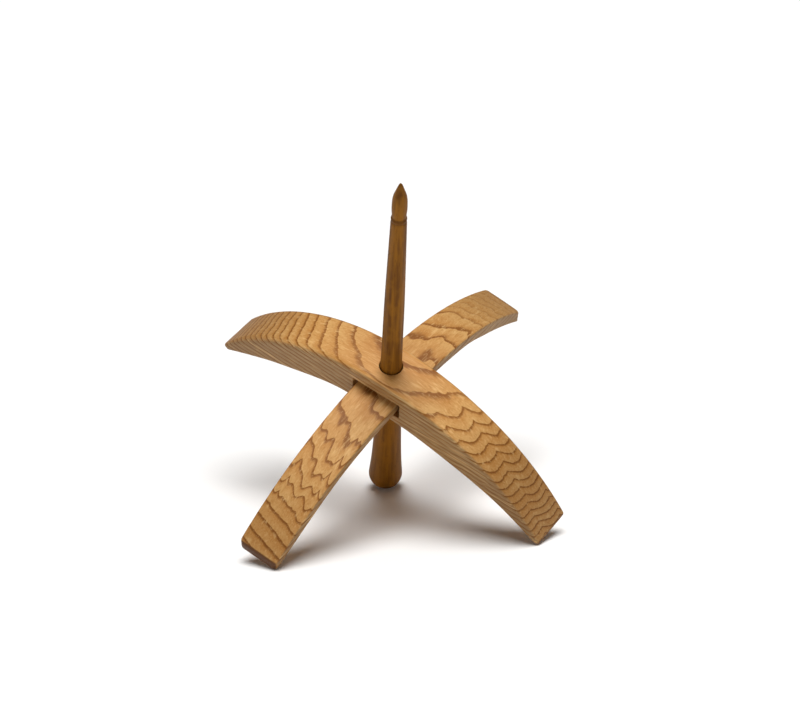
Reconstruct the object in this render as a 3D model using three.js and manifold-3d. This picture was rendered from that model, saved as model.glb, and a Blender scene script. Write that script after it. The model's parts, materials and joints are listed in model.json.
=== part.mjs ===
// A drop spindle with a knock-down whorl: a tapered shaft, and two bowed arms that cross on it.
// The thick outer arm has a slot through its middle, the thin inner arm lies in that slot, and the
// shaft goes up through both, so it locks them together until they are lifted off over its tip.
// Millimetres, +Z up. The spindle stands as it is put down on a table, on the round end of the shaft
// and on two neighbouring arm tips, with the tabletop at z = 0.
import * as THREE from 'three';
import { mergeVertices } from 'three/addons/utils/BufferGeometryUtils.js';
import Module from 'manifold-3d';

const wasm = await Module();
wasm.setup();

// ---- Driving dimensions -------------------------------------------------------------------------
// The spindle's own frame has its origin where the shaft leaves the crown of the outer arm: Z up
// the shaft, X along the outer arm and Y along the inner arm.

const SHAFT_LENGTH = 152;
const TIP_ABOVE_CROWN = 84.8;
const SHAFT_SIDES = 40;
const SWELL_STEPS = 24;
const ROUND_END_STEPS = 8;

// Hitch end of the shaft: a pointed tip, then a narrow neck under it and the shoulder that holds
// the yarn. Distances are down from the point.
const POINT_LENGTH = 8.8;
const POINT_DIAMETER = 4.8;
const POINT_FULLNESS = 0.34;
const POINT_STEPS = 7;
const NECK_FROM_TIP = 13.8;
const NECK_DIAMETER = 4.3;
const SHOULDER_FROM_TIP = 14.5;
const SHOULDER_DIAMETER = 4.95;

// The shaft swells from the shoulder down to its round end.
const MIDDLE_FROM_TIP = 50;
const MIDDLE_DIAMETER = 6.4;
const CROWN_DIAMETER = 7.25;
const SWELL_FROM_TIP = 129;
const SWELL_DIAMETER = 10.0;
const END_DIAMETER = 12.0;

// The top of each arm is one arc. Its underside is a smooth curve through stations, each a
// distance along the arm and a height, between the lower corners of the two ends. A tip's
// thickness is given for the low and then the high end of the arm's own axis.

// The outer arm carries the slot, so it is deep in the middle. It was shaped by hand, and its -X
// half is the deeper one.
const OUTER_ARM = {
  halfSpan: 68.5,
  crownZ: 0,
  tipZ: -33.8,
  underside: [[-55, -29.6], [-40, -23.4], [-15, -15.8], [10, -15.7], [30, -19.4], [50, -25.4]],
  tipThickness: [2.2, 1.4],
  endCut: 'square',
  middleWidth: 17.8,
  endWidth: 16.0,
  cornerRadius: 1.0,
};

// The inner arm is a thin bowed slat, left thicker towards its +Y tip.
const INNER_ARM = {
  halfSpan: 70.0,
  crownZ: -7.1,
  tipZ: -28.9,
  underside: [[-35, -16], [0, -11.1], [30, -14.8], [46, -21.3], [60, -28.4]],
  tipThickness: [3.2, 5.4],
  endCut: 'upright',
  middleWidth: 16.8,
  endWidth: 15.4,
  cornerRadius: 1.8,
};

// The slot was cut by hand, a little off centre.
const SLOT_TOP_Z = -5.3;
const SLOT_BOTTOM_Z = -11.85;
const SLOT_WIDTH = 19.3;
const SLOT_OFF_CENTRE = 0.5;

// Radial room between the shaft and the holes in the arms, and how far each cut runs on past the
// wood that it goes through.
const BORE_CLEARANCE = 0.35;
const BORE_OVERRUN = 8;
const CUT_OVERRUN = 1;

// Steps along the curves of an arm.
const ARC_STEPS = 44;
const UNDERSIDE_STEPS = 60;
const CORNER_STEPS = 4;

// ---- Solids -------------------------------------------------------------------------------------

const MERGE_DISTANCE = 1e-4;

function toSolid(geometry) {
  const bare = geometry.index ? geometry.toNonIndexed() : geometry.clone();
  bare.deleteAttribute('normal');
  bare.deleteAttribute('uv');
  const merged = mergeVertices(bare, MERGE_DISTANCE);
  const vertProperties = new Float32Array(merged.attributes.position.array);
  const triVerts = new Uint32Array(merged.index.array);
  return new wasm.Manifold(new wasm.Mesh({ numProp: 3, vertProperties, triVerts }));
}

function toGeometry(solid) {
  const mesh = solid.getMesh();
  const geometry = new THREE.BufferGeometry();
  geometry.setAttribute('position', new THREE.Float32BufferAttribute(mesh.vertProperties, 3));
  geometry.setIndex(Array.from(mesh.triVerts));
  geometry.computeVertexNormals();
  return geometry;
}

// An outline in X and Z, drawn out to a width centred on Y = 0.
function extrudeAcross(shape, width) {
  const geometry = new THREE.ExtrudeGeometry(shape, {
    depth: width, bevelEnabled: false, curveSegments: ARC_STEPS, steps: 1,
  });
  geometry.rotateX(Math.PI / 2);
  geometry.translate(0, width / 2, 0);
  return geometry;
}

// An outline in X and Y, drawn out between two heights.
function extrudeUp(shape, low, high) {
  const geometry = new THREE.ExtrudeGeometry(shape, {
    depth: high - low, bevelEnabled: false, curveSegments: CORNER_STEPS, steps: 1,
  });
  geometry.translate(0, 0, low);
  return geometry;
}

// An outline of radii and heights, turned about the Z axis.
function turned(outline) {
  const geometry = new THREE.LatheGeometry(outline, SHAFT_SIDES);
  geometry.rotateX(Math.PI / 2);
  return geometry;
}

// Radius of the arc that falls by `drop` over half its span.
function bowRadius(halfSpan, drop) {
  return (halfSpan ** 2 + drop ** 2) / (2 * drop);
}

// ---- Shaft --------------------------------------------------------------------------------------

function shaftZ(fromTip) {
  return TIP_ABOVE_CROWN - fromTip;
}

const endRadius = END_DIAMETER / 2;
const endCentreZ = shaftZ(SHAFT_LENGTH - endRadius);

// The long swelling stretch between the shoulder and the round end, as radius and height.
const swell = new THREE.SplineCurve([
  new THREE.Vector2(endRadius, endCentreZ),
  new THREE.Vector2(SWELL_DIAMETER / 2, shaftZ(SWELL_FROM_TIP)),
  new THREE.Vector2(CROWN_DIAMETER / 2, 0),
  new THREE.Vector2(MIDDLE_DIAMETER / 2, shaftZ(MIDDLE_FROM_TIP)),
  new THREE.Vector2(SHOULDER_DIAMETER / 2, shaftZ(SHOULDER_FROM_TIP)),
]);
const swellPoints = swell.getPoints(SWELL_STEPS);

function roundEndPoints() {
  const points = [];
  for (let i = 0; i < ROUND_END_STEPS; i += 1) {
    const angle = (i / ROUND_END_STEPS) * (Math.PI / 2);
    points.push(new THREE.Vector2(
      endRadius * Math.sin(angle), endCentreZ - endRadius * Math.cos(angle)));
  }
  return points;
}

// The neck flares to a blunt collar and then curves in to the point.
function hitchPoints() {
  const point = new THREE.QuadraticBezierCurve(
    new THREE.Vector2(POINT_DIAMETER / 2, shaftZ(POINT_LENGTH)),
    new THREE.Vector2(POINT_DIAMETER / 2, shaftZ(POINT_LENGTH * POINT_FULLNESS)),
    new THREE.Vector2(0, shaftZ(0)));
  const neck = new THREE.Vector2(NECK_DIAMETER / 2, shaftZ(NECK_FROM_TIP));
  return [neck, ...point.getPoints(POINT_STEPS)];
}

function makeShaft() {
  const outline = [...roundEndPoints(), ...swellPoints, ...hitchPoints()];
  outline[0].x = 0;
  return turned(outline);
}

// What a hole through an arm leaves clear: the swelling stretch, grown by the clearance.
function makeBore(arm) {
  const highest = arm.crownZ + BORE_OVERRUN;
  const lowest = middleUndersideZ(arm) - BORE_OVERRUN;
  const wall = swellPoints.filter((p) => p.y > lowest && p.y < highest);
  const grown = wall.map((p) => new THREE.Vector2(p.x + BORE_CLEARANCE, p.y));
  const outline = [new THREE.Vector2(0, grown[0].y), ...grown, new THREE.Vector2(0, grown.at(-1).y)];
  return toSolid(turned(outline));
}

// ---- Arms ---------------------------------------------------------------------------------------

// The underside's lowest station beside the shaft.
function middleUndersideZ(arm) {
  const nearShaft = arm.underside.filter(([x]) => Math.abs(x) < arm.middleWidth);
  return Math.min(...nearShaft.map(([, z]) => z));
}

// Where the underside meets an end: side -1 is the low end of the arm's axis and 1 the high end. A
// square cut runs across the bow, towards its centre; an upright cut runs straight down.
function lowerEndCorner(arm, side) {
  const radius = bowRadius(arm.halfSpan, arm.crownZ - arm.tipZ);
  const lean = arm.endCut === 'square' ? Math.asin(arm.halfSpan / radius) : 0;
  const thickness = side < 0 ? arm.tipThickness[0] : arm.tipThickness[1];
  return new THREE.Vector2(
    side * (arm.halfSpan - thickness * Math.sin(lean)),
    arm.tipZ - thickness * Math.cos(lean));
}

// Side view of an arm: one arc for the top, and the curve through the stations below it.
function bowOutline(arm) {
  const radius = bowRadius(arm.halfSpan, arm.crownZ - arm.tipZ);
  const spread = Math.asin(arm.halfSpan / radius);
  const up = Math.PI / 2;
  const stations = arm.underside.map(([x, z]) => new THREE.Vector2(x, z));
  const underside = new THREE.SplineCurve(
    [lowerEndCorner(arm, -1), ...stations, lowerEndCorner(arm, 1)]);
  const shape = new THREE.Shape();
  shape.absarc(0, arm.crownZ - radius, radius, up - spread, up + spread, false);
  underside.getPoints(UNDERSIDE_STEPS).forEach((p) => shape.lineTo(p.x, p.y));
  return shape;
}

// Top view of an arm: widest at the shaft, tapering to ends with eased corners.
function taperOutline(arm) {
  const end = arm.halfSpan;
  const half = arm.endWidth / 2;
  const ease = arm.cornerRadius;
  const shape = new THREE.Shape();
  shape.moveTo(0, -arm.middleWidth / 2);
  shape.lineTo(end - ease, -half);
  shape.quadraticCurveTo(end, -half, end, ease - half);
  shape.lineTo(end, half - ease);
  shape.quadraticCurveTo(end, half, end - ease, half);
  shape.lineTo(0, arm.middleWidth / 2);
  shape.lineTo(ease - end, half);
  shape.quadraticCurveTo(-end, half, -end, half - ease);
  shape.lineTo(-end, ease - half);
  shape.quadraticCurveTo(-end, -half, ease - end, -half);
  return shape;
}

// An arm along X, drilled for the shaft.
function armSolid(arm) {
  const bowed = toSolid(extrudeAcross(bowOutline(arm), arm.middleWidth + 2 * CUT_OVERRUN));
  const lowest = Math.min(lowerEndCorner(arm, -1).y, lowerEndCorner(arm, 1).y) - CUT_OVERRUN;
  const tapered = toSolid(extrudeUp(taperOutline(arm), lowest, arm.crownZ + CUT_OVERRUN));
  return bowed.intersect(tapered).subtract(makeBore(arm));
}

function slotSolid() {
  const height = SLOT_TOP_Z - SLOT_BOTTOM_Z;
  const length = OUTER_ARM.middleWidth + 2 * CUT_OVERRUN;
  const box = new THREE.BoxGeometry(SLOT_WIDTH, length, height);
  box.translate(SLOT_OFF_CENTRE, 0, (SLOT_TOP_Z + SLOT_BOTTOM_Z) / 2);
  return toSolid(box);
}

function makeOuterArm() {
  return toGeometry(armSolid(OUTER_ARM).subtract(slotSolid()));
}

function makeInnerArm() {
  const geometry = toGeometry(armSolid(INNER_ARM));
  geometry.rotateZ(Math.PI / 2);
  return geometry;
}

// ---- Stance -------------------------------------------------------------------------------------

// The spindle leans over towards its +X and -Y arm tips.
const ROUGH_TABLE_NORMAL = new THREE.Vector3(-0.4, 0.4, 0.8);
const STANCE_ROUNDS = 4;

// The tabletop touches a corner of each arm's tip and the ball of the shaft's end. Its upward
// normal is square to the line between the corners and has the ball's centre one radius above it.
function tableNormal(outerCorner, innerCorner, ballCentre) {
  const along = innerCorner.clone().sub(outerCorner).normalize();
  const side = along.clone().cross(new THREE.Vector3(0, 0, 1)).normalize();
  const rise = side.clone().cross(along);
  const toBall = ballCentre.clone().sub(outerCorner);
  const reach = Math.hypot(toBall.dot(side), toBall.dot(rise));
  const bearing = Math.atan2(toBall.dot(side), toBall.dot(rise));
  const turn = bearing - Math.acos(endRadius / reach);
  return side.multiplyScalar(Math.sin(turn)).add(rise.multiplyScalar(Math.cos(turn)));
}

function lowestCorner(geometry, normal) {
  const positions = geometry.attributes.position;
  const corner = new THREE.Vector3();
  const lowest = new THREE.Vector3().fromBufferAttribute(positions, 0);
  for (let i = 0; i < positions.count; i += 1) {
    corner.fromBufferAttribute(positions, i);
    if (corner.dot(normal) < lowest.dot(normal)) lowest.copy(corner);
  }
  return lowest;
}

// Each round finds the corners that are lowest on the last tabletop, and lays a new one under them.
function restingNormal(outerArm, innerArm) {
  const ballCentre = new THREE.Vector3(0, 0, endCentreZ);
  let normal = ROUGH_TABLE_NORMAL;
  for (let round = 0; round < STANCE_ROUNDS; round += 1) {
    const outerCorner = lowestCorner(outerArm, normal);
    const innerCorner = lowestCorner(innerArm, normal);
    normal = tableNormal(outerCorner, innerCorner, ballCentre);
  }
  return normal;
}

// Rows of the rotation from the spindle's frame to the table's: the shaft leans towards -Y.
function standingRotation(normal) {
  const shaftUp = new THREE.Vector3(0, 0, 1);
  const back = normal.clone().multiplyScalar(normal.z).sub(shaftUp).normalize();
  const right = back.clone().cross(normal);
  const toSpindle = new THREE.Matrix4().makeBasis(right, back, normal);
  return toSpindle.transpose();
}

// ---- Assembly -----------------------------------------------------------------------------------

function wood(color, roughness) {
  return new THREE.MeshStandardMaterial({ color, roughness, metalness: 0 });
}

function named(name, geometry, material) {
  const mesh = new THREE.Mesh(geometry, material);
  mesh.name = name;
  return mesh;
}

const outerArm = makeOuterArm();
const innerArm = makeInnerArm();
const spindle = new THREE.Group();
spindle.add(named('shaft', makeShaft(), wood(0x6f4518, 0.5)));
spindle.add(named('outer_arm', outerArm, wood(0xcf9f63, 0.6)));
spindle.add(named('inner_arm', innerArm, wood(0xcf9a5c, 0.6)));

spindle.applyMatrix4(standingRotation(restingNormal(outerArm, innerArm)));
spindle.updateMatrixWorld(true);

// The origin is the middle of the standing spindle's outer box, on the tabletop.
const box = new THREE.Box3().setFromObject(spindle, true);
const centre = box.getCenter(new THREE.Vector3());
spindle.position.sub(new THREE.Vector3(centre.x, centre.y, box.min.z));

const part = new THREE.Group();
part.add(spindle);

export default part;
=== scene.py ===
import json
import math

import bmesh
import bpy
import numpy as np
from mathutils import Matrix, Vector, noise


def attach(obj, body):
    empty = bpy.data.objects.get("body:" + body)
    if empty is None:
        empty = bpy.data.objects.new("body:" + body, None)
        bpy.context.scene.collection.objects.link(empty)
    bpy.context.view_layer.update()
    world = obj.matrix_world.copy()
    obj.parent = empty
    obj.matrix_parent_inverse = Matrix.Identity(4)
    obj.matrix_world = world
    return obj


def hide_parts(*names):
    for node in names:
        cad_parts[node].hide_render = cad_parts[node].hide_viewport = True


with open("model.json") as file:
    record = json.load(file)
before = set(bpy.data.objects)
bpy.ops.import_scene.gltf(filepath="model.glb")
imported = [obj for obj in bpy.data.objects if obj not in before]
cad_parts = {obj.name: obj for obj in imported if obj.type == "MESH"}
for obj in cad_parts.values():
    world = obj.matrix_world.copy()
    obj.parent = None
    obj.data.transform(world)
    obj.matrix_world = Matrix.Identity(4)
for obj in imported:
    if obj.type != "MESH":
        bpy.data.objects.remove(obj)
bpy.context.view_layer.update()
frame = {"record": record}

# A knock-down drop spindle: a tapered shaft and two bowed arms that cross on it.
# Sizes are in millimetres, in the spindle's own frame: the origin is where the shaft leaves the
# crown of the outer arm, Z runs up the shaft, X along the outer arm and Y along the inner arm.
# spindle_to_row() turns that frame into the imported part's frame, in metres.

MM = 0.001

# ---- Sizes --------------------------------------------------------------------------------------

SHAFT_LENGTH = 152.0
TIP_ABOVE_CROWN = 84.8
END_RADIUS = 6.0
BALL_CENTRE_Z = TIP_ABOVE_CROWN - SHAFT_LENGTH + END_RADIUS
BORE_CLEARANCE = 0.35

# The shaft's long swelling stretch, from the shoulder to the round end: distance from the tip and
# radius.
SHOULDER_FROM_TIP = 14.5
SWELL = [
    (SHOULDER_FROM_TIP, 2.475),
    (50.0, 3.2),
    (TIP_ABOVE_CROWN, 3.625),
    (129.0, 5.0),
    (SHAFT_LENGTH - END_RADIUS, END_RADIUS),
]
SHOULDER_CHAMFER = (0.18, 0.1)

# The carved tip: distance from the tip and radius, down to the neck.
POINT = [
    (0.0, 0.0),
    (0.9, 0.6),
    (2.4, 1.12),
    (4.3, 1.75),
    (5.6, 2.1),
    (7.6, 2.33),
    (10.6, 2.38),
    (13.0, 2.24),
]
NECK_FROM_TIP = 13.8
NECK = [(13.5, 2.15), (14.0, 2.15)]

# A fine line cut round the shaft below the shoulder.
SCRIBED_LINE_FROM_TIP = 15.6
SCRIBED_LINE_DEPTH = 0.23
SCRIBED_LINE_WIDTH = 0.37

# Both arms are made along X, and the inner one is then turned to lie along Y. An arm's top is one
# arc, and its underside is a curve through stations, each a place along it and a height. Tip
# thickness is for the low and then the high end of its axis. Edge radii are (place, radius) pairs,
# and the near edge is the one towards -Y. crowning is how far the top falls away to its edges, and
# tip_twist how far the near edge has warped down at the high end.
OUTER_ARM = {
    "half_span": 68.5,
    "crown_z": 0.0,
    "tip_z": -33.8,
    "underside": [(-55, -29.6), (-40, -23.4), (-15, -15.8), (10, -15.7), (30, -19.4), (50, -25.4)],
    "tip_thickness": (2.2, 1.4),
    "square_ends": True,
    "middle_width": 17.8,
    "end_width": 16.0,
    "corner_radius": 1.0,
    "bore_foot_z": -15.9,
    "near_edge_radii": [(-68.5, 1.0), (-55, 2.6), (-25, 3.0), (0, 1.8), (25, 1.2), (68.5, 0.9)],
    "far_edge_radii": [(-68.5, 0.4), (-30, 0.5), (0, 1.4), (30, 1.4), (68.5, 0.5)],
    "low_edge_radius": 0.5,
    "crowning": 0.1,
    "tip_twist": 0.0,
}
INNER_ARM = {
    "half_span": 70.0,
    "crown_z": -7.1,
    "tip_z": -28.9,
    "underside": [(-35, -16), (0, -11.1), (30, -14.8), (46, -21.3), (60, -28.4)],
    "tip_thickness": (3.2, 5.4),
    "square_ends": False,
    "middle_width": 16.8,
    "end_width": 15.4,
    "corner_radius": 1.8,
    "bore_foot_z": -11.1,
    "near_edge_radii": [(-70, 0.5), (0, 0.7), (70, 0.7)],
    "far_edge_radii": [(-70, 0.5), (0, 0.7), (70, 0.5)],
    "low_edge_radius": 0.5,
    "crowning": 0.1,
    "tip_twist": 1.8,
}
TWIST_FROM = 35.0

# The slot through the outer arm, the chamfer at the mouths of the slot and of both holes, and how
# far a hole's cutter runs on past the wood.
SLOT_X = (-9.15, 10.15)
SLOT_Z = (-11.85, -5.3)
SLOT_CORNER_RADIUS = 0.6
MOUTH_CHAMFER = 0.3
CUT_OVERRUN = 3.0

# How deep sanding has worn the arms, and the size of its patches, for broad and fine ones.
BROAD_WEAR = 0.09
BROAD_PATCH = 14
FINE_WEAR = 0.04
FINE_PATCH = 4.5
FINE_SHIFT = Vector((7, 3, 1))

# The most that an end face's edge is eased, and the most of an arm's thickness that its upper and
# lower edges may take.
END_EASE = 0.5
UPPER_EDGE_SHARE = 0.35
LOWER_EDGE_SHARE = 0.3

# How finely the visible meshes are made, in numbers of points and millimetres; SHARP_ANGLE is in
# degrees and SHORTEST_EDGE in metres.
ARM_STATIONS = 280
ARM_END_STATIONS = 9
ARM_END_SHARE = 0.03
UNDERSIDE_SEARCH = np.linspace(0.2, 22, 900)
SHAFT_SIDES = 128
BORE_SIDES = 96
BALL_STEPS = 24
FINE_STEP = 0.25
SHARP_ANGLE = 38
POLE_RADIUS = 1e-3
SHORTEST_EDGE = 1e-7

# ---- The spindle's frame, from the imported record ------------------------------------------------


def mount(name):
    return next(m for m in frame["record"]["mounts"] if m["name"] == name)


def side_taper(arm):
    """The angle that an arm's side faces make with its own axis."""
    narrowing = (arm["middle_width"] - arm["end_width"]) / 2
    return math.atan2(narrowing, arm["half_span"] - arm["corner_radius"])


def spindle_to_row():
    """Matrix from the spindle's frame, in millimetres, to the part's frame, in metres."""
    up = Vector(mount("yarn_hitch")["axis"]).normalized()
    hitch_above_crown = (TIP_ABOVE_CROWN - NECK_FROM_TIP) * MM
    origin = Vector(mount("yarn_hitch")["pos_m"]) - up * hitch_above_crown
    outward = Vector(mount("outer_arm_side")["axis"])
    outward.rotate(Matrix.Rotation(side_taper(OUTER_ARM), 3, up))
    inner_arm_axis = -outward.normalized()
    outer_arm_axis = inner_arm_axis.cross(up)
    turn = Matrix((outer_arm_axis, inner_arm_axis, up)).transposed().to_4x4()
    return Matrix.Translation(origin) @ turn @ Matrix.Scale(MM, 4)


TO_ROW = spindle_to_row()

# ---- Curves -------------------------------------------------------------------------------------


def smooth_curve(stations, steps=40):
    """Points of a uniform Catmull-Rom curve through the stations, as the CAD arms and shaft use."""
    held = [stations[0], *stations, stations[-1]]
    points = []
    for before, start, end, after in zip(held, held[1:], held[2:], held[3:]):
        before, start, end, after = (np.array(p, float) for p in (before, start, end, after))
        leave, arrive = (end - before) / 2, (after - start) / 2
        for step in range(steps):
            t = step / steps
            bend = 2 * start - 2 * end + leave + arrive
            swing = -3 * start + 3 * end - 2 * leave - arrive
            points.append(bend * t**3 + swing * t**2 + leave * t + start)
    return np.array([*points, stations[-1]], float)


def bow_radius(arm):
    drop = arm["crown_z"] - arm["tip_z"]
    return (arm["half_span"] ** 2 + drop**2) / (2 * drop)


def lower_corner(arm, side):
    """Where the underside meets an end: side is -1 at the axis's low end, 1 at its high end."""
    lean = math.asin(arm["half_span"] / bow_radius(arm)) if arm["square_ends"] else 0.0
    thickness = arm["tip_thickness"][0 if side < 0 else 1]
    return (
        side * (arm["half_span"] - thickness * math.sin(lean)),
        arm["tip_z"] - thickness * math.cos(lean),
    )


def underside_curve(arm):
    return smooth_curve([lower_corner(arm, -1), *arm["underside"], lower_corner(arm, 1)])


# ---- Mesh tools ---------------------------------------------------------------------------------


def to_object(name, vertices, faces):
    mesh = bpy.data.meshes.new(name)
    mesh.from_pydata([tuple(v) for v in vertices], [], faces)
    mesh.validate()
    made = bpy.data.objects.new(name, mesh)
    bpy.context.scene.collection.objects.link(made)
    return made


def ring_faces(rings, sides):
    """Quads between neighbouring rings of points, and one face across each end ring."""
    faces = []
    for ring in range(rings - 1):
        for side in range(sides):
            after = (side + 1) % sides
            low, high = ring * sides, (ring + 1) * sides
            faces.append((low + side, low + after, high + after, high + side))
    faces.append(tuple(reversed(range(sides))))
    faces.append(tuple(range((rings - 1) * sides, rings * sides)))
    return faces


def turned(name, profile, sides):
    """A solid turned about Z from (height, radius) points, lowest first, closed at both ends."""
    angles = np.linspace(0, 2 * math.pi, sides, endpoint=False)
    circle = np.stack([np.cos(angles), np.sin(angles)], 1)
    vertices = [(r * c, r * s, z) for z, r in profile for c, s in circle]
    return to_object(name, vertices, ring_faces(len(profile), sides))


def cut(target, cutter):
    """Takes the cutter out of the target."""
    modifier = target.modifiers.new("cut", "BOOLEAN")
    modifier.operation = "DIFFERENCE"
    modifier.solver = "EXACT"
    modifier.object = cutter
    apply_modifiers(target)
    bpy.data.objects.remove(cutter)


def apply_modifiers(target):
    shapes = bpy.context.evaluated_depsgraph_get()
    made = bpy.data.meshes.new_from_object(target.evaluated_get(shapes))
    target.modifiers.clear()
    old, target.data = target.data, made
    bpy.data.meshes.remove(old)


def finish_piece(piece, node, body, material):
    """Puts a piece in the part's frame, shades it smooth and lets it stand for its CAD node."""
    mesh = piece.data
    mesh.transform(TO_ROW)
    shape = bmesh.new()
    shape.from_mesh(mesh)
    bmesh.ops.dissolve_degenerate(shape, dist=SHORTEST_EDGE, edges=shape.edges)
    bmesh.ops.recalc_face_normals(shape, faces=shape.faces)
    shape.to_mesh(mesh)
    shape.free()
    mesh.set_sharp_from_angle(angle=math.radians(SHARP_ANGLE))
    for face in mesh.polygons:
        face.use_smooth = True
    mesh.materials.clear()
    mesh.materials.append(material)
    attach(piece, body)
    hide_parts(node)


# ---- Arms ---------------------------------------------------------------------------------------

TOP_STEPS = 30
ARC_STEPS = 7
SIDE_STEPS = 14


def corner_arc(centre, radius, start):
    """A quarter turn from start, clockwise, without its last point."""
    angles = [start - math.pi / 2 * i / ARC_STEPS for i in range(ARC_STEPS)]
    return [(centre[0] + radius * math.cos(a), centre[1] + radius * math.sin(a)) for a in angles]


def straight(start, end, steps):
    """Even points from start towards end, without the last."""
    return [tuple(np.array(start) + (np.array(end) - start) * i / steps) for i in range(steps)]


def section(half_width, height, near, far, low, crowning):
    """A rounded rectangle as (across, up) points, with its top edge at up = 0. near, far and low
    are the radii of its upper edges and of both lower ones."""
    side, foot = half_width, -height
    points = straight((near - side, 0), (side - far, 0), TOP_STEPS)
    points += corner_arc((side - far, -far), far, math.pi / 2)
    points += straight((side, -far), (side, low + foot), SIDE_STEPS)
    points += corner_arc((side - low, low + foot), low, 0)
    points += straight((side - low, foot), (low - side, foot), TOP_STEPS)
    points += corner_arc((low - side, low + foot), low, -math.pi / 2)
    points += straight((-side, low + foot), (-side, -near), SIDE_STEPS)
    points += corner_arc((near - side, -near), near, math.pi)
    return [(y, z - crowning * (y / side) ** 2 * (1 + z / height)) for y, z in points]


def quarter_round(distance, radius):
    """How far a face has fallen back at a distance from a rounded end."""
    if distance >= radius:
        return 0.0
    return radius - math.sqrt(radius**2 - (radius - distance) ** 2)


def arm_stations():
    """Places along the arm from -1 to 1, closer together over the rounded ends."""
    even = np.linspace(-1, 1, ARM_STATIONS)
    fall = 1 - np.cos(np.linspace(0, math.pi / 2, ARM_END_STATIONS))
    near_end = 1 - fall * ARM_END_SHARE
    middle = even[abs(even) < 1 - ARM_END_SHARE]
    return np.unique(np.concatenate([-near_end, middle, near_end]))


def thickness_below(top, direction, underside):
    """Distance from a point of the top, against direction, to the underside."""
    x = top[0] - UNDERSIDE_SEARCH * direction[0]
    z = top[1] - UNDERSIDE_SEARCH * direction[1]
    inside = z > np.interp(x, underside[:, 0], underside[:, 1])
    return UNDERSIDE_SEARCH[np.argmin(inside)]


def half_width_at(arm, x, to_end):
    """Half the arm's width: it tapers from the middle and is rounded in at the end."""
    share = min(1.0, abs(x) / (arm["half_span"] - arm["corner_radius"]))
    width = arm["middle_width"] * (1 - share) + arm["end_width"] * share
    return width / 2 - quarter_round(to_end, arm["corner_radius"])


def edge_radii_at(arm, x, thickness):
    """Radii of the near, far and lower edges, held to a share of the arm's thickness."""
    near, far = (
        min(np.interp(x, *zip(*arm[key])), thickness * UPPER_EDGE_SHARE)
        for key in ("near_edge_radii", "far_edge_radii")
    )
    return near, far, min(arm["low_edge_radius"], thickness * LOWER_EDGE_SHARE)


def arm_blank(name, arm):
    """The bowed arm along X, with rounded edges and ends, before it is slotted or drilled."""
    radius = bow_radius(arm)
    spread = math.asin(arm["half_span"] / radius)
    underside = underside_curve(arm)
    stations = arm_stations()
    vertices = []
    for station in stations:
        angle = station * spread
        to_end = radius * spread * (1 - abs(station))
        top = (radius * math.sin(angle), arm["crown_z"] - radius + radius * math.cos(angle))
        direction = (math.sin(angle), math.cos(angle)) if arm["square_ends"] else (0.0, 1.0)
        thickness = thickness_below(top, direction, underside)
        ease = quarter_round(to_end, min(END_EASE, thickness * UPPER_EDGE_SHARE))
        half_width = half_width_at(arm, top[0], to_end)
        radii = edge_radii_at(arm, top[0], thickness)
        for y, z in section(half_width, thickness - 2 * ease, *radii, arm["crowning"]):
            drop = ease - z
            vertices.append((top[0] - drop * direction[0], y, top[1] - drop * direction[1]))
    worn = [worn_in(Vector(v), arm) for v in vertices]
    twist_tip(worn, arm)
    sides = len(vertices) // len(stations)
    return to_object(name, worn, ring_faces(len(stations), sides))


def twist_tip(points, arm):
    """Lowers the near edge towards the high end of an arm that has warped."""
    for point in points:
        reach = max(0.0, point.x - TWIST_FROM) / (arm["half_span"] - TWIST_FROM)
        point.z -= arm["tip_twist"] * reach**2 * (0.5 - point.y / arm["end_width"])


def worn_in(point, arm):
    """Moves a point towards a line deep inside the arm, unevenly, as hand sanding leaves it."""
    core = Vector((point.x * 0.98, 0, arm["crown_z"] - 8 - point.x**2 / 180))
    inward = (core - point).normalized()
    broad = 0.5 + 0.5 * noise.noise(point / BROAD_PATCH)
    fine = 0.5 + 0.5 * noise.noise(point / FINE_PATCH + FINE_SHIFT)
    return point + inward * (BROAD_WEAR * broad + FINE_WEAR * fine)


def shaft_profile(low, high, grown=0.0):
    """(height, radius) of the swelling stretch between two heights, lowest first."""
    curve = smooth_curve(SWELL[::-1], 60)
    points = [(TIP_ABOVE_CROWN - from_tip, r + grown) for from_tip, r in curve]
    return [(z, r) for z, r in points if low <= z <= high]


def bore_cutter(arm):
    """The hole for the shaft, with a small chamfer at the crown and at the underside."""
    crown, foot = arm["crown_z"], arm["bore_foot_z"]
    high, low = crown - MOUTH_CHAMFER, foot + MOUTH_CHAMFER
    wall = shaft_profile(foot - CUT_OVERRUN, crown + CUT_OVERRUN, BORE_CLEARANCE)
    wall += [(z, float(np.interp(z, *zip(*wall)))) for z in (high, low)]
    mouthed = [(z, r + max(0.0, z - high) + max(0.0, low - z)) for z, r in sorted(wall)]
    return turned("bore", mouthed, BORE_SIDES)


def slot_cutter(width):
    """The slot through the outer arm, with small round corners and eased mouths."""
    centre = (sum(SLOT_X) / 2, sum(SLOT_Z) / 2)
    inset = [(high - low) / 2 - SLOT_CORNER_RADIUS for low, high in (SLOT_X, SLOT_Z)]
    mouth = width / 2 - MOUTH_CHAMFER
    flare = 4 * MOUTH_CHAMFER
    rings = [(-mouth - flare, flare), (-mouth, 0.0), (mouth, 0.0), (mouth + flare, flare)]
    vertices = []
    for y, grown in rings:
        outline = []
        for turn, (right, up) in enumerate([(1, 1), (1, -1), (-1, -1), (-1, 1)]):
            middle = (right * (inset[0] + grown), up * (inset[1] + grown))
            outline += corner_arc(middle, SLOT_CORNER_RADIUS, math.pi / 2 * (1 - turn))
        vertices += [(centre[0] + x, y, centre[1] + z) for x, z in outline]
    return to_object("slot", vertices, ring_faces(len(rings), len(outline)))


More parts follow.
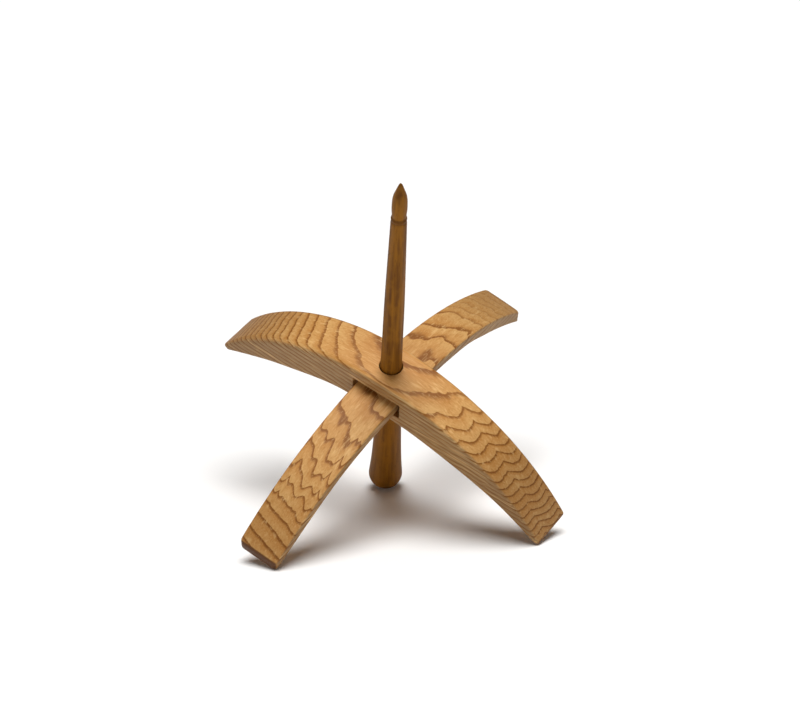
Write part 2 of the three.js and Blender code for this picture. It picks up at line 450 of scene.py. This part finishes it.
def make_outer_arm():
    arm = arm_blank("outer_arm_wood", OUTER_ARM)
    cut(arm, slot_cutter(OUTER_ARM["middle_width"]))
    cut(arm, bore_cutter(OUTER_ARM))
    return arm


def make_inner_arm():
    arm = arm_blank("inner_arm_wood", INNER_ARM)
    cut(arm, bore_cutter(INNER_ARM))
    arm.data.transform(Matrix.Rotation(math.pi / 2, 4, "Z"))
    return arm


# ---- Shaft --------------------------------------------------------------------------------------


def scribed(z, r):
    """The radius with the thin line cut round the shaft below the shoulder."""
    away = (TIP_ABOVE_CROWN - z - SCRIBED_LINE_FROM_TIP) / SCRIBED_LINE_WIDTH
    return (z, r - SCRIBED_LINE_DEPTH * math.exp(-away * away))


def refined(profile):
    """The same profile with more points, so that a thin line can be cut in it."""
    fine = []
    for start, end in zip(profile, profile[1:]):
        fine += straight(start, end, max(1, round((end[0] - start[0]) / FINE_STEP)))
    return [*fine, profile[-1]]


def shaft_ball():
    """The round lower end, without its widest ring."""
    angles = [math.pi / 2 * i / BALL_STEPS for i in range(BALL_STEPS)]
    return [
        (BALL_CENTRE_Z - END_RADIUS * math.cos(a), END_RADIUS * math.sin(a) + POLE_RADIUS)
        for a in angles
    ]


def make_shaft():
    swell = refined(shaft_profile(BALL_CENTRE_Z, TIP_ABOVE_CROWN - SHOULDER_FROM_TIP))
    body = [scribed(z, r) for z, r in swell]
    top_z, top_r = body[-1]
    shoulder = (top_z + SHOULDER_CHAMFER[0], top_r - SHOULDER_CHAMFER[1])
    tip = [*smooth_curve(POINT, 10), *NECK]
    carved = [(TIP_ABOVE_CROWN - from_tip, max(r, POLE_RADIUS)) for from_tip, r in reversed(tip)]
    return turned("shaft_wood", [*shaft_ball(), *body, shoulder, *carved], SHAFT_SIDES)


# ---- Material formulas --------------------------------------------------------------------------


class Value:
    """A number in a material's nodes, so that a pattern can be written as a formula."""

    def __init__(self, tree, socket):
        self.tree, self.socket = tree, socket

    def math(self, operation, *others):
        node = self.tree.nodes.new("ShaderNodeMath")
        node.operation = operation
        for place, value in enumerate((self, *others)):
            if isinstance(value, Value):
                self.tree.links.new(value.socket, node.inputs[place])
            else:
                node.inputs[place].default_value = value
        return Value(self.tree, node.outputs[0])

    def __add__(self, other):
        return self.math("ADD", other)

    def __sub__(self, other):
        return self.math("SUBTRACT", other)

    def __mul__(self, other):
        return self.math("MULTIPLY", other)

    def __truediv__(self, other):
        return self.math("DIVIDE", other)

    def __neg__(self):
        return self.math("MULTIPLY", -1.0)

    def __abs__(self):
        return self.math("ABSOLUTE")

    def sine(self):
        return self.math("SINE")

    def fraction(self):
        return self.math("FRACT")

    def ramp(self, low, high):
        """0 below low, 1 above high, and smooth between them. low may be the greater."""
        node = self.tree.nodes.new("ShaderNodeMapRange")
        node.interpolation_type = "SMOOTHSTEP"
        self.tree.links.new(self.socket, node.inputs["Value"])
        node.inputs["From Min"].default_value = min(low, high)
        node.inputs["From Max"].default_value = max(low, high)
        node.inputs["To Min"].default_value = 0.0 if low < high else 1.0
        node.inputs["To Max"].default_value = 1.0 if low < high else 0.0
        return Value(self.tree, node.outputs["Result"])


class Wood:
    """The nodes of one wood: its coordinates in the spindle's frame, and how it is finished."""

    def __init__(self, name):
        self.material = bpy.data.materials.new(name)
        self.material.use_nodes = True
        self.tree = self.material.node_tree
        self.shader = self.tree.nodes["Principled BSDF"]
        self.x, self.y, self.z = self.spindle_coordinates()

    def spindle_coordinates(self):
        back = TO_ROW.inverted()
        place = self.tree.nodes.new("ShaderNodeTexCoord").outputs["Object"]
        mapping = self.tree.nodes.new("ShaderNodeMapping")
        mapping.inputs["Location"].default_value = back.to_translation()
        mapping.inputs["Rotation"].default_value = back.to_euler("XYZ")
        mapping.inputs["Scale"].default_value = (1 / MM, 1 / MM, 1 / MM)
        split = self.tree.nodes.new("ShaderNodeSeparateXYZ")
        self.tree.links.new(place, mapping.inputs["Vector"])
        self.tree.links.new(mapping.outputs["Vector"], split.inputs["Vector"])
        return [Value(self.tree, output) for output in split.outputs]

    def noise(self, wavelengths, detail=2.0, seed=0.0):
        """Noise from about 0 to 1, with its own wavelength along X, Y and Z, in millimetres."""
        join = self.tree.nodes.new("ShaderNodeCombineXYZ")
        for place, (value, length) in enumerate(zip((self.x, self.y, self.z), wavelengths)):
            self.tree.links.new((value / length + seed).socket, join.inputs[place])
        node = self.tree.nodes.new("ShaderNodeTexNoise")
        node.inputs["Scale"].default_value = 1.0
        node.inputs["Detail"].default_value = detail
        self.tree.links.new(join.outputs["Vector"], node.inputs["Vector"])
        return Value(self.tree, node.outputs["Fac"])

    def mix(self, share, first, second, how="MIX"):
        """A colour from first to second. Each is a colour socket or three numbers."""
        node = self.tree.nodes.new("ShaderNodeMix")
        node.data_type = "RGBA"
        node.blend_type = how
        self.tree.links.new(share.socket, node.inputs["Factor"])
        for socket, colour in zip((node.inputs[6], node.inputs[7]), (first, second)):
            if isinstance(colour, tuple):
                socket.default_value = (*colour, 1.0)
            else:
                self.tree.links.new(colour, socket)
        return node.outputs[2]

    def colour(self, socket):
        self.tree.links.new(socket, self.shader.inputs["Base Color"])

    def roughness(self, value):
        self.tree.links.new(value.socket, self.shader.inputs["Roughness"])

    def gloss(self, level):
        self.shader.inputs["Specular IOR Level"].default_value = level

    def relief(self, height, depth):
        """Bumps the surface by height, from 0 to 1, times a depth in millimetres."""
        bump = self.tree.nodes.new("ShaderNodeBump")
        bump.inputs["Distance"].default_value = depth * MM
        self.tree.links.new(height.socket, bump.inputs["Height"])
        self.tree.links.new(bump.outputs["Normal"], self.shader.inputs["Normal"])


# ---- Woods --------------------------------------------------------------------------------------

EARLYWOOD = (0.62, 0.345, 0.118)
MIDWOOD = (0.45, 0.184, 0.034)
LATEWOOD = (0.215, 0.068, 0.006)
ORANGE_STAIN = (0.54, 0.255, 0.068)
# Painted sheen: the colour of bright highlight streaks in the wood.
PAINTED_SHEEN = (0.78, 0.49, 0.20)
# The end faces' colour: dark end grain, and painted shade as well.
END_GRAIN_AND_SHADE = (0.10, 0.04, 0.013)
# Painted shade: the darker, greyer colour of the side faces, with a grey painted reflection.
PAINTED_SIDE_SHADE = (0.2, 0.138, 0.07)
# Painted shade: the tone that darkens the arms towards their tips.
PAINTED_SHADE_TONE = (0.40, 0.37, 0.33)
ARM_GLOSS = 0.2

# Width of one lobe of the creased rings on the outer arm.
LOBE_WIDTH = 9.0


def arm_wood(wood, layer, spacing, first, fibre, contrast, shade, side, end):
    """Softwood with growth rings. layer is the height across the rings in millimetres, spacing the
    distance from ring to ring, first where one ends, fibre the wavelengths of its fibres, contrast
    how plainly the rings show, shade how much painted shade darkens the wood towards its tips, side
    where the sawn side faces are and end where the end grain is."""
    ring = ((layer - first) / spacing).fraction()
    ring_end = ring.ramp(1.0, 0.955)
    late = ring.ramp(0.68, 0.90) * ring_end
    skirt = ring.ramp(0.20, 0.92) * ring_end
    fibres = wood.noise(fibre, 3.0)
    flecks = wood.noise(tuple(length * 0.6 for length in fibre), 2.0, 11.0)
    streaks = wood.noise(tuple(length * 2.2 for length in fibre), 2.0, 17.0)
    patches = wood.noise((19.0, 19.0, 9.0), 2.0, 4.0)
    oiled = (abs(wood.x) + abs(wood.y)).ramp(28.0, 10.0)
    base = wood.mix(patches.ramp(0.38, 0.68) * 0.6, EARLYWOOD, ORANGE_STAIN)
    base = wood.mix(oiled * 0.75, base, ORANGE_STAIN)
    base = wood.mix(skirt * contrast * 0.7, base, MIDWOOD)
    base = wood.mix(streaks.ramp(0.55, 0.72) * 0.5, base, MIDWOOD)
    base = wood.mix(fibres.ramp(0.42, 0.75) * 0.45, base, MIDWOOD)
    # Painted shade and a grey painted reflection on the sawn side faces.
    base = wood.mix(side * 0.65, base, PAINTED_SIDE_SHADE)
    base = wood.mix(side * skirt * 0.3, base, LATEWOOD)
    base = wood.mix(late * contrast * 0.88, base, LATEWOOD)
    base = wood.mix(flecks.ramp(0.58, 0.72) * 0.3, base, LATEWOOD)
    # Painted sheen: bright flecks and streaks along the fibres, standing for highlights.
    base = wood.mix(flecks.ramp(0.46, 0.32) * 0.3, base, PAINTED_SHEEN)
    base = wood.mix(streaks.ramp(0.42, 0.28) * 0.5, base, PAINTED_SHEEN)
    # Painted shade: darkens the wood towards both tips, less on the side faces.
    base = wood.mix(shade * (side * -0.6 + 1.0), base, PAINTED_SHADE_TONE, "MULTIPLY")
    # The end faces are dark end grain and painted shade.
    base = wood.mix(end, base, END_GRAIN_AND_SHADE)
    wood.colour(base)
    wood.roughness(fibres * 0.2 + 0.42)
    wood.relief(fibres * 0.5 - late * 0.4 + flecks * 0.3 + 0.3, 0.07)
    wood.gloss(ARM_GLOSS)


def sawn_side(across, along, arm, starts, full):
    """1 on the side faces and 0 on the rest. starts and full are the distances inside the side
    faces where it begins and where it is complete."""
    half_width = arm["middle_width"] / 2
    reach = abs(across) + abs(along) * math.tan(side_taper(arm))
    return reach.ramp(half_width - starts, half_width - full)


def end_grain(along, arm, starts, full):
    """1 on the end faces and 0 on the rest, with distances as for sawn_side."""
    return abs(along).ramp(arm["half_span"] - starts, arm["half_span"] - full)


def outer_arm_wood():
    """Nearly level rings, tilted across the arm, with a creased figure on the +X half."""
    wood = Wood("outer_arm_wood")
    crease_wander = (wood.noise((4.0, 40.0, 40.0), 1.0, 21.0) - 0.5) * 5.0
    along_crease = (wood.x - 28.0) * -0.17 + crease_wander + 3.0
    lobe = abs(((wood.y - along_crease) * (math.pi / LOBE_WIDTH)).sine())
    creased = lobe * wood.x.ramp(14.0, 32.0) * 1.1
    wander = wood.noise((16.0, 9.0, 12.0), 1.5) * 1.3
    jitter = wood.noise((5.0, 1.6, 6.0), 2.0, 9.0) * 0.6
    arm_wood(
        wood,
        layer=wood.z + wood.y * 0.18 + wood.x * 0.013 + creased + wander + jitter,
        spacing=1.95,
        first=-0.4,
        fibre=(9.0, 0.5, 0.5),
        contrast=wood.noise((30.0, 12.0, 30.0), 1.0, 2.0).ramp(0.2, 0.5) * 0.25 + 0.75,
        # Painted shade, darker towards both tips.
        shade=wood.x.ramp(24.0, 56.0) * 0.7 + wood.x.ramp(-24.0, -70.0) * 0.78,
        side=sawn_side(wood.y, wood.x, OUTER_ARM, 1.0, 0.2),
        end=end_grain(wood.x, OUTER_ARM, 0.9, 0.2) * 0.6,
    )
    return wood.material


def inner_arm_wood():
    """Rings tilted across the arm, creased along its -Y half and fading towards its +Y tip."""
    wood = Wood("inner_arm_wood")
    figure = abs(wood.noise((3.8, 30.0, 18.0), 0.0, 5.0) - 0.5) * 7.0
    creased = figure * wood.y.ramp(-62.0, -46.0) * (wood.y.ramp(-14.0, -34.0) * 0.65 + 0.35)
    broad = wood.noise((7.0, 13.0, 14.0), 1.0, 7.0) * wood.y.ramp(-42.0, -12.0) * 3.4
    wander = wood.noise((11.0, 11.0, 12.0), 1.5, 3.0)
    jitter = wood.noise((1.6, 4.0, 6.0), 1.0, 9.0) * 0.35
    arm_wood(
        wood,
        layer=wood.z + wood.x * 0.15 + creased + broad + wander + jitter,
        spacing=2.35,
        first=0.15,
        fibre=(0.5, 9.0, 0.5),
        contrast=wood.y.ramp(50.0, 34.0) * 0.7 + 0.3,
        # Painted shade, darker towards both tips and a little all over.
        shade=wood.y.ramp(-30.0, -72.0) * 0.5 + wood.y.ramp(24.0, 70.0) * 0.58 + 0.08,
        side=sawn_side(wood.x, wood.y, INNER_ARM, 0.5, 0.05),
        end=end_grain(wood.y, INNER_ARM, 0.8, 0.4),
    )
    return wood.material


SHAFT_LIGHT = (0.25, 0.098, 0.007)
SHAFT_DARK = (0.115, 0.040, 0.003)
SHAFT_DARKEST = (0.075, 0.024, 0.003)
SHAFT_GLOSS = 0.1


def shaft_wood():
    """A darker, close-grained wood, streaked along the shaft, with a dark band at the shoulder."""
    wood = Wood("shaft_wood")
    streaks = wood.noise((1.3, 1.3, 26.0), 3.0)
    mottle = wood.noise((3.5, 3.5, 5.0), 3.0, 2.0)
    pores = wood.noise((0.3, 0.3, 2.4), 1.0, 6.0)
    from_tip = -wood.z + TIP_ABOVE_CROWN
    band = from_tip.ramp(13.6, 14.2) * from_tip.ramp(16.0, 15.5)
    # The dark streaks weaken towards the round end, so the lower shaft is lighter.
    streak_strength = from_tip.ramp(95.0, 130.0) * -0.35 + 1.0
    base = wood.mix(streaks.ramp(0.3, 0.7) * streak_strength, SHAFT_LIGHT, SHAFT_DARK)
    base = wood.mix(mottle.ramp(0.45, 0.7) * 0.5, base, SHAFT_LIGHT)
    base = wood.mix(pores.ramp(0.62, 0.75) * 0.5, base, SHAFT_DARKEST)
    # A dark band round the neck and shoulder.
    base = wood.mix(band * 0.55, base, SHAFT_DARKEST)
    wood.colour(base)
    wood.roughness(mottle * 0.2 + 0.42)
    wood.relief(streaks * 0.5 + pores.ramp(0.75, 0.62) * 0.4, 0.03)
    wood.gloss(SHAFT_GLOSS)
    return wood.material


# ---- Stage --------------------------------------------------------------------------------------

# Metres, but for the floor's grey.
FLOOR_WIDTH = 12.0
FLOOR_GAP = 0.00005
FLOOR_GREY = 0.93

# The surroundings are bright up to a height on the sky's sphere, from 0 at the horizon to 1
# overhead, and dim from another.
HORIZON_STRENGTH = 0.95
ZENITH_STRENGTH = 0.02
DIM_FROM = 0.27
BRIGHT_TO = 0.15

KEY_STRENGTH = 3.5
KEY_SPREAD = 41
KEY_DIRECTION = (0.0, -0.12, 1.0)
KEY_COLOUR = (1.0, 0.992, 0.98)


def make_floor():
    half = FLOOR_WIDTH / 2
    corners = [(-half, -half, 0), (half, -half, 0), (half, half, 0), (-half, half, 0)]
    floor = to_object("floor", corners, [(0, 1, 2, 3)])
    floor.location.z = -FLOOR_GAP
    material = bpy.data.materials.new("floor")
    material.use_nodes = True
    shader = material.node_tree.nodes["Principled BSDF"]
    shader.inputs["Base Color"].default_value = (FLOOR_GREY, FLOOR_GREY, FLOOR_GREY, 1)
    shader.inputs["Roughness"].default_value = 0.75
    shader.inputs["Specular IOR Level"].default_value = 0.2
    floor.data.materials.append(material)


def make_light():
    """A broad soft key from overhead, in a studio that is white round the horizon."""
    world = bpy.data.worlds.new("studio")
    world.use_nodes = True
    tree = world.node_tree
    sky = tree.nodes.new("ShaderNodeTexCoord").outputs["Generated"]
    split = tree.nodes.new("ShaderNodeSeparateXYZ")
    tree.links.new(sky, split.inputs["Vector"])
    bright = Value(tree, split.outputs["Z"]).ramp(DIM_FROM, BRIGHT_TO)
    strength = bright * HORIZON_STRENGTH + ZENITH_STRENGTH
    tree.links.new(strength.socket, tree.nodes["Background"].inputs["Strength"])
    tree.nodes["Background"].inputs["Color"].default_value = (1.0, 1.0, 1.0, 1)
    bpy.context.scene.world = world
    key = bpy.data.lights.new("key", "SUN")
    key.energy = KEY_STRENGTH
    key.angle = math.radians(KEY_SPREAD)
    key.color = KEY_COLOUR
    lamp = bpy.data.objects.new("key", key)
    lamp.rotation_euler = Vector(KEY_DIRECTION).to_track_quat("Z", "Y").to_euler()
    bpy.context.scene.collection.objects.link(lamp)
    bpy.context.scene.view_settings.view_transform = "Standard"


# The camera's direction from the spindle in the spindle's own frame, in degrees, how it is held,
# how far it is, and the point that it looks at, to the right and up in its own view.
CAMERA_AZIMUTH = 34.30
CAMERA_ELEVATION = 50.60
CAMERA_ROLL = 3.395
CAMERA_DISTANCE = 543.07
CAMERA_AIM = (2.938, 4.899)
CAMERA_LENS = 73.74
CAMERA_SENSOR = 36.0


def make_camera():
    azimuth, elevation = math.radians(CAMERA_AZIMUTH), math.radians(CAMERA_ELEVATION)
    back = Vector(
        (
            math.sin(azimuth) * math.cos(elevation),
            -math.cos(azimuth) * math.cos(elevation),
            math.sin(elevation),
        )
    )
    right = (-back).cross(Vector((0, 0, 1))).normalized()
    right.rotate(Matrix.Rotation(math.radians(CAMERA_ROLL), 3, back))
    up = back.cross(right)
    place = right * CAMERA_AIM[0] + up * CAMERA_AIM[1] + back * CAMERA_DISTANCE
    stand = Matrix((right, up, back)).transposed().to_4x4()
    camera = bpy.data.objects.new("camera", bpy.data.cameras.new("camera"))
    camera.data.lens = CAMERA_LENS
    camera.data.sensor_width = CAMERA_SENSOR
    held = TO_ROW @ Matrix.Translation(place) @ stand
    turn = held.to_quaternion().to_matrix().to_4x4()
    camera.matrix_world = Matrix.Translation(held.translation) @ turn
    bpy.context.scene.collection.objects.link(camera)
    bpy.context.scene.camera = camera


# ---- Scene --------------------------------------------------------------------------------------

make_camera()
make_floor()
make_light()
finish_piece(make_shaft(), "shaft", "shaft", shaft_wood())
finish_piece(make_outer_arm(), "outer_arm", "arms", outer_arm_wood())
finish_piece(make_inner_arm(), "inner_arm", "arms", inner_arm_wood())
